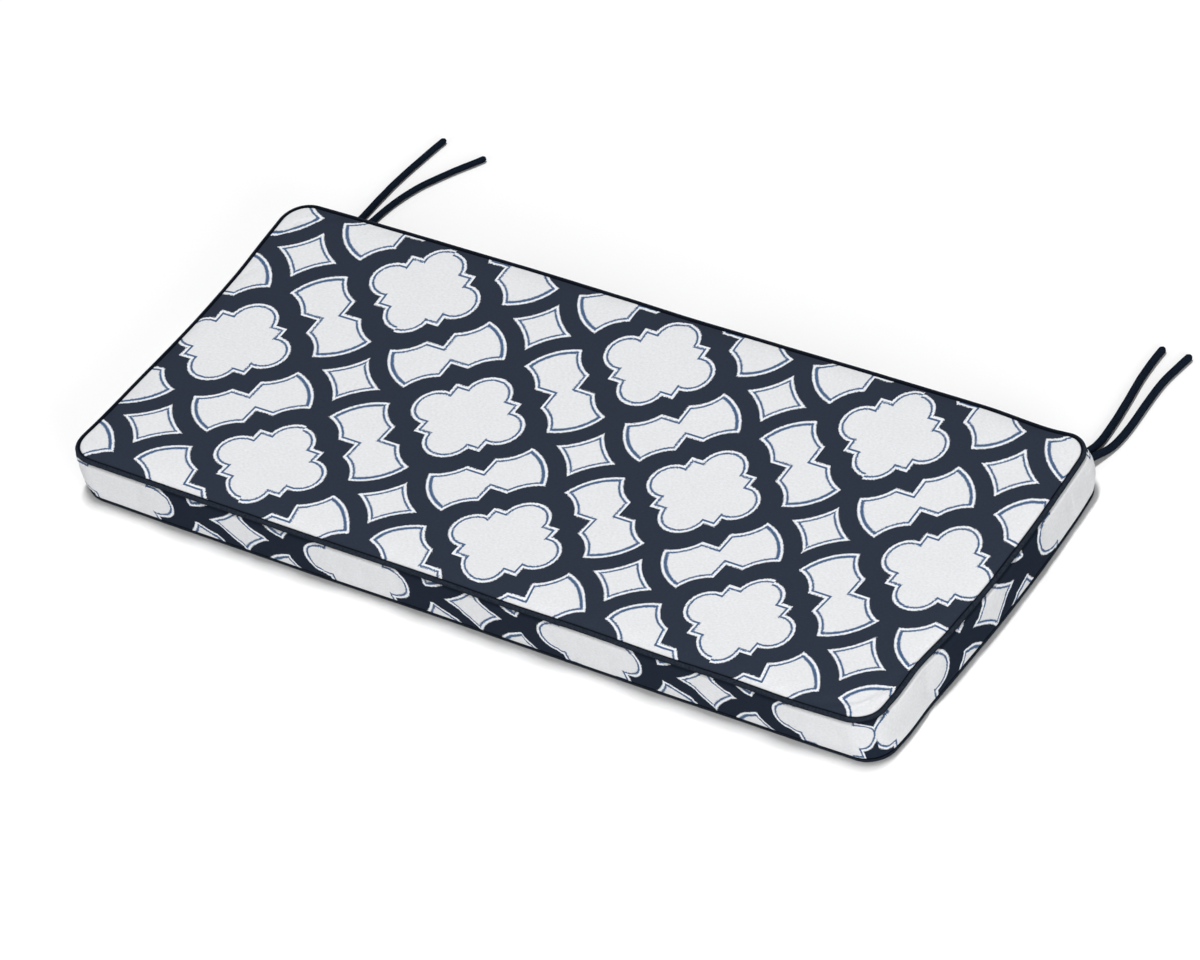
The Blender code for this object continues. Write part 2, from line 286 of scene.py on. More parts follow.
@dataclass(frozen=True)
class StripPrint:
    """Where the print falls on one boxing strip, measured along it from the middle of its side.

    The cloth is drawn tighter in some places than in others, so the pitch changes along the strip.
    """

    reach: float
    origin: float
    pitch: float
    stretch: float
    drift: float
    row: Triple
    squeeze: Pair
    turn_from: float
    turn_gain: float
    top_take_up: float
    corner_take_up: float
    bottom_take_up: float
    far_from: float = 1.0
    far_gain: float = 0.0
    third: float = 0.020  # about a third of the strip's height

    def take_up(self, height: np.ndarray, past: np.ndarray) -> np.ndarray:
        """How much more of the print lies below each height, near the two seams.

        Args:
            height: Height over the bottom seam.
            past: How far each point lies past the start of the corner.

        Returns:
            Distances up the strip.
        """
        near_top = np.maximum(height - 2 * self.third, 0.0) / self.third
        near_bottom = np.maximum(self.third - height, 0.0) / self.third
        top = (self.top_take_up + self.corner_take_up * past) * near_top ** 2
        return top - self.bottom_take_up * near_bottom ** 2

    def place(self, walk: np.ndarray, height: np.ndarray, row_pitch: float) -> np.ndarray:
        """Print coordinates of points on the strip.

        Args:
            walk: Distance along the strip from the middle of its side.
            height: Height over the bottom seam.
            row_pitch: Half the print's repeat across its rows.

        Returns:
            Columns and rows of the print, one pair for each point.
        """
        inside = np.clip(walk, -self.reach, self.reach)
        share = inside / self.reach
        toward = math.copysign(1.0, self.turn_from)
        past = np.maximum((inside - self.turn_from) * toward, 0.0)
        far = np.maximum(-toward * inside - self.far_from, 0.0)
        turned = self.turn_gain * past ** 2 - self.far_gain * far ** 2
        drawn = inside - self.drift * share ** 3 + toward * turned - self.origin
        column = print_units(drawn, self.pitch, self.stretch) + (walk - inside) / self.pitch + 1.0
        middle = self.row[0] + self.row[1] * share + self.row[2] * share ** 2
        scale = self.squeeze[0] + self.squeeze[1] * share
        level = height + self.take_up(height, past) - middle
        return np.stack((column, level / (scale * row_pitch)), axis=1)


@dataclass(frozen=True)
class PrintLayout:
    """Where the trellis print falls on each panel, in units of the print's half repeat.

    A quatrefoil lies where both units are even or both odd, and a star where one is even. A zone is
    where a slide of the print starts, and over what distance it comes in.
    """

    pitch_x: float = 0.17846
    pitch_y: float = 0.1686
    top_origin: Pair = (0.02212, -0.00621)
    top_stretch: Pair = (0.00246, 0.00429)
    top_bow: float = 0.00453
    column_drift: tuple[float, ...] = (0.00067, 0.0022, 0.0011, 0.00096)
    row_drift: Triple = (0.0004, 0.0007, -0.0006)
    front_slide: float = 0.0099
    front_zone: Pair = (0.205, 0.045)
    front_lessens: float = 0.25  # from the middle to the right end
    corner_zone: Pair = (0.49, 0.07)
    right_rise: float = 0.0022
    right_rise_from: float = 2.0  # in columns
    right_slide: float = 0.0065
    right_zone: Pair = (0.535, 0.075)
    front: StripPrint = StripPrint(
        reach=0.610, origin=0.03693, pitch=0.17647, stretch=0.00242, drift=0.00845,
        row=(0.04120, 0.00342, 0.00129), squeeze=(0.919, -0.016), turn_from=0.565, turn_gain=4.8,
        top_take_up=0.0045, corner_take_up=0.24, bottom_take_up=-0.0025)
    right: StripPrint = StripPrint(
        reach=0.255, origin=-0.00804, pitch=0.17628, stretch=-0.01044, drift=0.01708,
        row=(0.03872, -0.0044, -0.00658), squeeze=(0.884, 0.013), turn_from=-0.210, turn_gain=2.9,
        top_take_up=0.0, corner_take_up=0.0, bottom_take_up=-0.0020, far_from=0.205, far_gain=4.5)

    def top(self, plan: np.ndarray, half_length: float, half_width: float) -> np.ndarray:
        """Print coordinates of the top panel.

        Args:
            plan: Points of the true box, x and y.
            half_length: Half the cushion's length.
            half_width: Half the cushion's width.

        Returns:
            Columns and rows of the print, one pair for each point.
        """
        t, q = plan[:, 0] / half_length, plan[:, 1] / half_width
        x = plan[:, 0] - self.top_origin[0] - self.top_bow * (1 - q * q)
        for gain, term in zip(self.column_drift, (q, t ** 3, t * q * q, q * t * t)):
            x = x - gain * term
        near_front = coming_in(-plan[:, 1], self.front_zone)
        near_corner = coming_in(plan[:, 0], self.corner_zone)
        x = x - self.front_slide * (1 - self.front_lessens * t) * near_front * (1 - near_corner)
        column = print_units(x, self.pitch_x, self.top_stretch[0])
        y = plan[:, 1] - self.top_origin[1]
        y = y - self.right_rise * np.maximum(column - self.right_rise_from, 0.0)
        y = y + self.right_slide * coming_in(plan[:, 0], self.right_zone)
        for gain, term in zip(self.row_drift, (t, t * t, t * q * q)):
            y = y - gain * term
        row = print_units(-y, self.pitch_y, self.top_stretch[1])
        return np.stack((column + 1.0, -row), axis=1)


@dataclass(frozen=True)
class Signal:
    """A node's output, with which plain arithmetic can be written: each sign adds a Math node."""

    wires: Wires
    socket: Socket

    def __add__(self, other: Value) -> Signal:
        """The sum."""
        return self.wires.math("ADD", self, other)

    def __sub__(self, other: Value) -> Signal:
        """The difference."""
        return self.wires.math("SUBTRACT", self, other)

    def __rsub__(self, other: float) -> Signal:
        """The difference from a plain number."""
        return self.wires.math("SUBTRACT", other, self)

    def __mul__(self, other: Value) -> Signal:
        """The product."""
        return self.wires.math("MULTIPLY", self, other)

    def __truediv__(self, other: Value) -> Signal:
        """The quotient."""
        return self.wires.math("DIVIDE", self, other)

    def line(self, gain: Value, start: Value) -> Signal:
        """This times a gain, plus a start."""
        return self.wires.math("MULTIPLY_ADD", self, gain, start)

    def around_one(self, gain: float, middle: float = 0.5) -> Signal:
        """This as a factor that varies by the gain, and is 1 where this is in the middle."""
        return self.line(gain, 1.0 - gain * middle)


class Wires:
    """Adds nodes to a tree as calls, each of which returns a node's output."""

    def __init__(self, tree: bpy.types.NodeTree) -> None:
        """Keeps the tree that the nodes go into."""
        self.tree = tree

    def feed(self, target: Socket, value: Value) -> None:
        """Links a signal to a socket, or sets a plain value on it.

        Args:
            target: The socket.
            value: The signal or the value.
        """
        if isinstance(value, Signal):
            self.tree.links.new(value.socket, target)
        else:
            target.default_value = value

    def node(self, kind: str, given: dict[Key, Value], out: Key = 0, **settings: object) -> Signal:
        """Adds a node.

        Args:
            kind: The node's type.
            given: What goes into its inputs, by their name or place.
            out: The output that is wanted, by its name or place.
            **settings: The node's own properties.

        Returns:
            That output.
        """
        node = self.tree.nodes.new(kind)
        for key, value in settings.items():
            setattr(node, key, value)
        for key, value in given.items():
            self.feed(node.inputs[key], value)
        return Signal(self, node.outputs[out])

    def math(self, operation: str, *values: Value) -> Signal:
        """A Math node of this operation."""
        return self.node("ShaderNodeMath", dict(enumerate(values)), operation=operation)

    def least(self, *values: Value) -> Signal:
        """The smallest of several values."""
        return reduce(partial(self.math, "MINIMUM"), values)

    def most(self, *values: Value) -> Signal:
        """The largest of several values."""
        return reduce(partial(self.math, "MAXIMUM"), values)

    def span(self, x: Signal, y: Signal) -> Signal:
        """Length of the plan vector (x, y)."""
        return self.math("SQRT", y.line(y, x * x))

    def mix(self, share: Signal, first: Signal | Triple, second: Signal | Triple) -> Signal:
        """Mixes two colours."""
        sides = [side if isinstance(side, Signal) else (*side, 1.0) for side in (first, second)]
        return self.node("ShaderNodeMix", {0: share, 6: sides[0], 7: sides[1]}, 2, data_type="RGBA")

    def scale(self, vector: Signal, factor: Signal) -> Signal:
        """A vector or colour times a factor."""
        return self.node("ShaderNodeVectorMath", {0: vector, "Scale": factor}, operation="SCALE")

    def ramp(self, value: Signal, low: float, high: float) -> Signal:
        """A smooth step from 0 at low to 1 at high."""
        given = {"Value": value, "From Min": low, "From Max": high}
        return self.node("ShaderNodeMapRange", given, "Result", interpolation_type="SMOOTHSTEP")

    def step(self, value: Signal, place: float, blur: float) -> Signal:
        """A smooth step from 0 to 1 that is blurred this far to both sides of its place."""
        return self.ramp(value, place - blur, place + blur)

    def noise(self, place: Signal, scale: float, detail: float = 2.0) -> Signal:
        """Noise between 0 and 1."""
        return self.node("ShaderNodeTexNoise", {"Vector": place, "Scale": scale, "Detail": detail}, "Fac")

    def uv(self, name: str) -> Signal:
        """Coordinates of a named UV map."""
        return self.node("ShaderNodeUVMap", {}, "UV", uv_map=name)

    def named(self, name: str) -> Signal:
        """A named attribute of the mesh, as a number."""
        return self.node("ShaderNodeAttribute", {}, "Fac", attribute_name=name)

    def split(self, vector: Signal) -> list[Signal]:
        """The x, y and z of a vector."""
        return [self.node("ShaderNodeSeparateXYZ", {0: vector}, axis) for axis in range(3)]

    def join(self, x: Signal, y: Signal, z: float = 0.0) -> Signal:
        """A vector of three values."""
        return self.node("ShaderNodeCombineXYZ", {0: x, 1: y, 2: z})

    def bump(self, height: Signal, strength: float, distance: float, **under: Signal) -> Signal:
        """A bump normal, laid on another one where it is given as Normal."""
        given = {"Height": height, "Strength": strength, "Distance": distance, **under}
        return self.node("ShaderNodeBump", given, "Normal")

    def capture(self, geometry: Signal, **kept: Signal) -> list[Signal]:
        """Keeps values on the points of a geometry.

        Args:
            geometry: The geometry.
            **kept: The values to keep, by name.

        Returns:
            The geometry and its kept values.
        """
        node = self.tree.nodes.new("GeometryNodeCaptureAttribute")
        node.domain = "POINT"
        for name in kept:
            node.capture_items.new("FLOAT", name)
        for target, value in zip(node.inputs, (geometry, *kept.values())):
            self.feed(target, value)
        return [Signal(self, node.outputs[place]) for place in range(1 + len(kept))]


@dataclass(frozen=True)
class Finish:
    """What every finish shares: a name and a Principled shader on the material's output."""

    name: str
    roughness: float = 0.92
    specular: float = 0.06

    def start(self) -> tuple[bpy.types.Material, Wires, bpy.types.NodeInputs]:
        """Makes the material.

        Returns:
            The material, the wires of its tree and the shader's inputs.
        """
        material = bpy.data.materials.new(self.name)
        material.use_nodes = True
        tree = material.node_tree
        tree.nodes.clear()
        output = tree.nodes.new("ShaderNodeOutputMaterial")
        shader = tree.nodes.new("ShaderNodeBsdfPrincipled")
        tree.links.new(shader.outputs["BSDF"], output.inputs["Surface"])
        shader.inputs["Roughness"].default_value = self.roughness
        shader.inputs["Specular IOR Level"].default_value = self.specular
        return material, Wires(tree), shader.inputs


@dataclass(frozen=True)
class PlainWeave:
    """An over-and-under weave, with its threads counted a metre."""

    threads_u: float
    threads_v: float
    crossing: float = 0.25

    def height(self, wires: Wires, u: Signal, v: Signal) -> Signal:
        """Height of the threads, from 0 to 1.

        Args:
            wires: The material's nodes.
            u: Coordinate across the warp, in metres.
            v: Coordinate across the weft, in metres.

        Returns:
            The height.
        """
        warp = wires.math("SINE", u * (self.threads_u * math.pi))
        weft = wires.math("SINE", v * (self.threads_v * math.pi))
        side = wires.step(warp * weft, 0.0, self.crossing)
        return wires.math("ABSOLUTE", weft) * side + wires.math("ABSOLUTE", warp) * (1.0 - side)


@dataclass(frozen=True)
class Foil:
    """A quatrefoil: a box with a round lobe over each side, each lobe given by its centre and radius.

    The sizes are in metres from the foil's own centre, along the print's columns (x) and rows (y).
    """

    box: Pair
    row_lobe: Pair
    column_lobe: Pair

    def depth(self, wires: Wires, x: Signal, y: Signal) -> Signal:
        """Measures how deep a point lies inside the foil.

        Args:
            wires: The material's nodes.
            x: Distance from its centre along columns.
            y: Distance from its centre along rows.

        Returns:
            Distance inside its edge, in metres.
        """
        row = wires.span(x, y - self.row_lobe[0])
        column = wires.span(x - self.column_lobe[0], y)
        box = wires.least(self.box[0] - x, self.box[1] - y)
        return wires.most(box, self.row_lobe[1] - row, self.column_lobe[1] - column)


@dataclass(frozen=True)
class TrellisCloth(Finish):
    """White outdoor cloth with a navy quatrefoil trellis, each white shape lined in blue.

    A quatrefoil lies inside a navy band, which is a quatrefoil with larger sizes. Between them lie stars
    and bow-ties. Noise scales are for each metre.
    """

    roughness: float = 0.95
    specular: float = 0.03
    map_name: str = "print"
    pitch: Pair = (0.1790, 0.1688)  # half a repeat along columns and rows
    foil: Foil = Foil(box=(0.0502, 0.0467), row_lobe=(0.0415, 0.0336), column_lobe=(0.0497, 0.0310))
    band: Foil = Foil(box=(0.0751, 0.0727), row_lobe=(0.0480, 0.0562), column_lobe=(0.0592, 0.0504))
    knot_radius: float = 0.0774  # round the middle of a bow-tie
    star_radius: float = 0.1000
    round_squash: float = 1.07
    edge: float = 0.00086
    line_start: float = 0.00424
    line_end: float = 0.00724
    blur: float = 0.0002
    arc_line_share: float = 0.82
    join_step: float = 0.0018
    join_every: float = 4.0
    woven_step: float = 0.0014
    ragged_scale: float = 520.0
    ragged_width: float = 0.0030
    white: Triple = (0.634, 0.641, 0.656)
    bright: Triple = (0.690, 0.712, 0.745)
    blue: Triple = (0.058, 0.102, 0.190)
    navy: Triple = (0.0124, 0.0180, 0.0302)
    # painted sheen: the top panel's navy is lighter than the boxing's, to stand in for the glossy haze
    # that the light from behind lays on the top
    navy_painted_sheen: Triple = (0.0230, 0.0298, 0.0455)
    weave: PlainWeave = PlainWeave(1500.0, 1300.0)
    weave_gain: float = 0.10
    weave_middle: float = 0.7
    thread_stretch: float = 0.35
    slub_scales: Pair = (640.0, 260.0)  # along the threads and in patches
    slub_shares: Pair = (0.6, 0.4)
    slub_gain: float = 0.44
    cloud_scale: float = 30.0
    cloud_gain: float = 0.05
    slub_relief: float = 0.6  # beside the weave's 1
    relief: float = 0.00012
    relief_strength: float = 0.5
    crease_side: float = 0.580  # from here on along X the cover is the right boxing
    crease_corner: Pair = (0.180, 0.049)  # place along Y, height
    crease_blurs: Pair = (0.0020, 0.0015)  # along the side, upwards
    crease_depth: float = 0.0008

    def folded(self, wires: Wires, u: Signal, v: Signal) -> tuple[Signal, Signal]:
        """Folds the print into the triangle between a quatrefoil and its two nearest stars.

        Args:
            wires: The material's nodes.
            u: The print's column.
            v: The print's row.

        Returns:
            Distances along columns and rows from the nearest quatrefoil's centre, in metres.
        """
        turn = wires.math("FRACT", (u + 1.0) / self.join_every)
        step = self.join_step / self.pitch[1]
        a = wires.math("PINGPONG", u, 1.0)
        b = wires.math("PINGPONG", v + turn.line(-2.0 * step, step), 1.0)
        far = wires.math("GREATER_THAN", a + b, 1.0)
        back = far.line(-2.0, 1.0)
        return a.line(back, far) * self.pitch[0], b.line(back, far) * self.pitch[1]

    def depths(self, wires: Wires, u: Signal, v: Signal) -> list[Signal]:
        """Measures how deep a point lies inside the white shapes.

        Args:
            wires: The material's nodes.
            u: The print's column.
            v: The print's row.

        Returns:
            Distance inside their edge, and the one that the inner side of the blue line goes by.
        """
        x, y = self.folded(wires, u, v)
        foil = self.foil.depth(wires, x, y)
        band = 0.0 - self.band.depth(wires, x, y)
        spoke = wires.span(x - self.pitch[0] / 2, (y - self.pitch[1] / 2) * self.round_squash)
        knot = self.knot_radius - spoke
        star = spoke - self.star_radius
        return [wires.most(foil, wires.least(band, wires.most(arc, star)))
                for arc in (knot, knot * self.arc_line_share)]

    def pressed_in(self, wires: Wires) -> Signal:
        """Presses a packing crease into the right side near the back corner.

        Args:
            wires: The material's nodes.

        Returns:
            The crease's height, from 0 to 1.
        """
        x, y, z = wires.split(wires.node("ShaderNodeTexCoord", {}, "Object"))
        side = wires.step(x, self.crease_side, self.crease_blurs[0])
        behind = wires.step(y, self.crease_corner[0], self.crease_blurs[0])
        above = wires.step(z, self.crease_corner[1], self.crease_blurs[1])
        return side * (behind * (1.0 - above))

    def make(self) -> bpy.types.Material:
        """Builds the material.

        Returns:
            The material.
        """
        material, wires, shader = self.start()
        u, v, _ = wires.split(wires.uv(self.map_name))
        across, along = u * self.pitch[0], v * self.pitch[1]
        metres = wires.join(across, along)
        stepped = [wires.math("SNAP", metre, self.woven_step) / pitch
                   for metre, pitch in zip((across, along), self.pitch)]
        ragged = wires.noise(metres, self.ragged_scale, detail=1.0)
        ragged = ragged.line(self.ragged_width, -self.ragged_width / 2)
        edge, inner = (depth + ragged for depth in self.depths(wires, *stepped))
        ground = wires.step(inner, self.line_end, self.blur)
        line = wires.step(edge, self.line_start, self.blur) * (1.0 - ground)
        white = wires.mix(line, wires.mix(ground, self.bright, self.white), self.blue)
        # painted sheen: the top panel takes the lighter navy, for the haze that light lays on it
        navy = wires.mix(wires.named("top_painted_sheen"), self.navy, self.navy_painted_sheen)
        colour = wires.mix(wires.step(edge, self.edge, self.blur), navy, white)
        weave = self.weave.height(wires, across, along)
        drawn = wires.join(across * self.thread_stretch, along)
        fine = wires.noise(drawn, self.slub_scales[0]) * self.slub_shares[0]
        slub = fine + wires.noise(metres, self.slub_scales[1], detail=3.0) * self.slub_shares[1]
        cloud = wires.noise(metres, self.cloud_scale)
        shade = slub.around_one(self.slub_gain) * cloud.around_one(self.cloud_gain)
        shade = shade * weave.around_one(self.weave_gain, self.weave_middle)
        woven = wires.bump(slub.line(self.slub_relief, weave), self.relief_strength, self.relief)
        creased = wires.bump(self.pressed_in(wires), 1.0, self.crease_depth, Normal=woven)
        wires.feed(shader["Base Color"], wires.scale(colour, shade))
        wires.feed(shader["Normal"], creased)
        return material


@dataclass(frozen=True)
class CordCloth(Finish):
    """Dark navy cloth on a cord or a tube, woven across its own length and width."""

    map_name: str = "cord"
    colour: Triple = (0.0076, 0.0114, 0.0192)
    fleck: Triple = (0.0195, 0.0262, 0.0378)
    # painted shade: seam is the near-black colour painted into the crevices where the cord meets the
    # seams, where shade falls
    seam: Triple = (0.0018, 0.0032, 0.0070)
    weave: PlainWeave = PlainWeave(1300.0, 1300.0)
    slub_scale: float = 330.0
    fleck_range: Pair = (0.50, 0.85)
    # painted shade: over this range the cord goes from its painted crevice shade to its own colour, from
    # its crevices towards its lit open side
    crevice_shade_range: Pair = (0.35, 0.95)
    bias_deg: float = 0.0
    paint_crevice_shade: bool = False
    weave_share: float = 0.30  # of the weave in the flecks
    slub_relief: float = 0.8  # beside the weave's 1
    relief: float = 0.00015
    relief_strength: float = 0.6

    def make(self) -> bpy.types.Material:
        """Builds the material.

        Returns:
            The material.
        """
        material, wires, shader = self.start()
        u, v, _ = wires.split(wires.uv(self.map_name))
        cosine, sine = math.cos(math.radians(self.bias_deg)), math.sin(math.radians(self.bias_deg))
        warp = v.line(sine, u * cosine)
        weft = v.line(cosine, u * -sine)
        weave = self.weave.height(wires, warp, weft)
        slub = wires.noise(wires.join(warp, weft), self.slub_scale)
        flecked = wires.ramp(weave.line(self.weave_share, slub), *self.fleck_range)
        colour = wires.mix(flecked, self.colour, self.fleck)
        # painted shade: the cord darkens towards the crevices beside it, away from its lit open side
        if self.paint_crevice_shade:
            colour = wires.mix(wires.ramp(wires.named("facing_light"), *self.crevice_shade_range), self.seam, colour)
        wires.feed(shader["Base Color"], colour)
        woven = wires.bump(slub.line(self.slub_relief, weave), self.relief_strength, self.relief)
        wires.feed(shader["Normal"], woven)
        return material


@dataclass(frozen=True)
class PaleFloor(Finish):
    """The pale studio floor."""

    roughness: float = 0.9
    specular: float = 0.1
    colour: Triple = (0.84, 0.84, 0.84)

    def make(self) -> bpy.types.Material:
        """Builds the material.

        Returns:
            The material.
        """
        material, _, shader = self.start()
        shader["Base Color"].default_value = (*self.colour, 1.0)
        return material


class CordTube:
    """A Geometry Nodes tree that sweeps a cloth tube along a path."""

    SIZES = ("Spacing", "Half width", "Flatness", "Wander", "Wander length", "End rounding", "Seed")
    INPUTS = {
        "Path": "NodeSocketGeometry", **dict.fromkeys(SIZES, "NodeSocketFloat"),
        "Sides": "NodeSocketInt", "Cloth": "NodeSocketMaterial"}
    SMALLEST_END = 0.55

    def __init__(self, name: str) -> None:
        """Builds the tree.

        Args:
            name: The tree's name.
        """
        self.tree = bpy.data.node_groups.new(name, "GeometryNodeTree")
        self.sockets: dict[str, str] = {}
        face = self.tree.interface
        for label, kind in self.INPUTS.items():
            self.sockets[label] = face.new_socket(label, in_out="INPUT", socket_type=kind).identifier
        face.new_socket("Tube", in_out="OUTPUT", socket_type="NodeSocketGeometry")
        wires = Wires(self.tree)
        entry = self.tree.nodes.new("NodeGroupInput").outputs
        given = {socket.name: Signal(wires, socket) for socket in entry}
        tube = self.swept(wires, self.path(wires, given), self.profile(wires, given), given["Cloth"])
        wires.feed(self.tree.nodes.new("NodeGroupOutput").inputs["Tube"], tube)

    def path(self, wires: Wires, given: dict[str, Signal]) -> list[Signal]:
        """The path as an even curve that wanders a little.

        Args:
            wires: The tree's nodes.
            given: The tree's inputs.

        Returns:
            The curve, the distance along it, and the tube's size, which is smaller at the far end.
        """
        curve = wires.node("GeometryNodeMeshToCurve", {"Mesh": given["Path"]})
        even = {"Curve": curve, "Length": given["Spacing"]}
        curve = wires.node("GeometryNodeResampleCurve", even, mode="LENGTH")
        curve = wires.node("GeometryNodeSetCurveNormal", {"Curve": curve}, mode="Z_UP")
        pattern = {
            "Vector": wires.node("GeometryNodeInputPosition", {}), "W": given["Seed"],
            "Scale": wires.math("DIVIDE", 1.0, given["Wander length"])}
        noise = wires.node("ShaderNodeTexNoise", pattern, "Color", noise_dimensions="4D")
        centred = wires.node("ShaderNodeVectorMath", {0: noise, 1: (0.5, 0.5, 0.5)}, operation="SUBTRACT")
        moved = {"Geometry": curve, "Offset": wires.scale(centred, given["Wander"])}
        curve = wires.node("GeometryNodeSetPosition", moved)
        walk = wires.node("GeometryNodeSplineParameter", {}, "Length")
        left = wires.node("GeometryNodeSplineLength", {}, "Length") - walk
        share = wires.least(left / wires.most(given["End rounding"], 1e-6), 1.0)
        rounded = wires.math("SQRT", 1.0 - wires.math("POWER", 1.0 - share, 3.0))
        return wires.capture(curve, walk=walk, size=wires.most(rounded, self.SMALLEST_END))

    def profile(self, wires: Wires, given: dict[str, Signal]) -> list[Signal]:
        """The tube's outline across the path.

        Args:
            wires: The tree's nodes.
            given: The tree's inputs.

        Returns:
            The outline and the distance round it.
        """
        circle = {"Resolution": given["Sides"], "Radius": 1.0}
        ring = wires.node("GeometryNodeCurvePrimitiveCircle", circle, mode="RADIUS")
        width = given["Half width"]
        shaped = {"Geometry": ring, "Scale": wires.join(width, width * given["Flatness"], 1.0)}
        ring = wires.node("GeometryNodeTransform", shaped)
        return wires.capture(ring, turn=wires.node("GeometryNodeSplineParameter", {}, "Length"))

    def swept(self, wires: Wires, path: list[Signal], profile: list[Signal], cloth: Signal) -> Signal:
        """The tube, with its cord map and its cloth.

        Args:
            wires: The tree's nodes.
            path: What the method path gives.
            profile: What the method profile gives.
            cloth: The tube's material.

        Returns:
            The tube's geometry.
        """
        curve, walk, size = path
        outline, turn = profile
        tube = wires.node("GeometryNodeCurveToMesh", {
            "Curve": curve, "Profile Curve": outline, "Scale": size, "Fill Caps": True})
        tube = wires.node(
            "GeometryNodeStoreNamedAttribute",
            {"Geometry": tube, "Name": CordCloth.map_name, "Value": wires.join(walk, turn)},
            data_type="FLOAT2", domain="CORNER")
        tube = wires.node("GeometryNodeSetShadeSmooth", {"Geometry": tube})
        tube = wires.node("GeometryNodeRealizeInstances", {"Geometry": tube})
        return wires.node("GeometryNodeSetMaterial", {"Geometry": tube, "Material": cloth})

    def sweep(self, name: str, path: np.ndarray, closed: bool, **sizes: object) -> bpy.types.Object:
        """Sweeps a tube and turns it into a plain mesh.

        Args:
            name: The piece's name.
            path: The points that the tube follows.
            closed: Whether the path is a ring.
            **sizes: The tree's inputs, with underscores for spaces.

        Returns:
            The finished object, at the origin.
        """
        count = len(path)
        edges = [(i, (i + 1) % count) for i in range(count if closed else count - 1)]
        line = bpy.data.meshes.new(name + "_path")
        line.from_pydata(path.tolist(), edges, [])
        guide = add_object(name + "_path", line)
        modifier = guide.modifiers.new("tube", "NODES")
        modifier.node_group = self.tree
        for label, value in sizes.items():
            modifier[self.sockets[label.replace("_", " ").capitalize()]] = value
        graph = bpy.context.evaluated_depsgraph_get()
        mesh = bpy.data.meshes.new_from_object(guide.evaluated_get(graph), depsgraph=graph)
        guide.modifiers.remove(modifier)
        bpy.data.objects.remove(guide, do_unlink=True)
        bpy.data.meshes.remove(line)
        mesh.name = name
        return add_object(name, mesh)


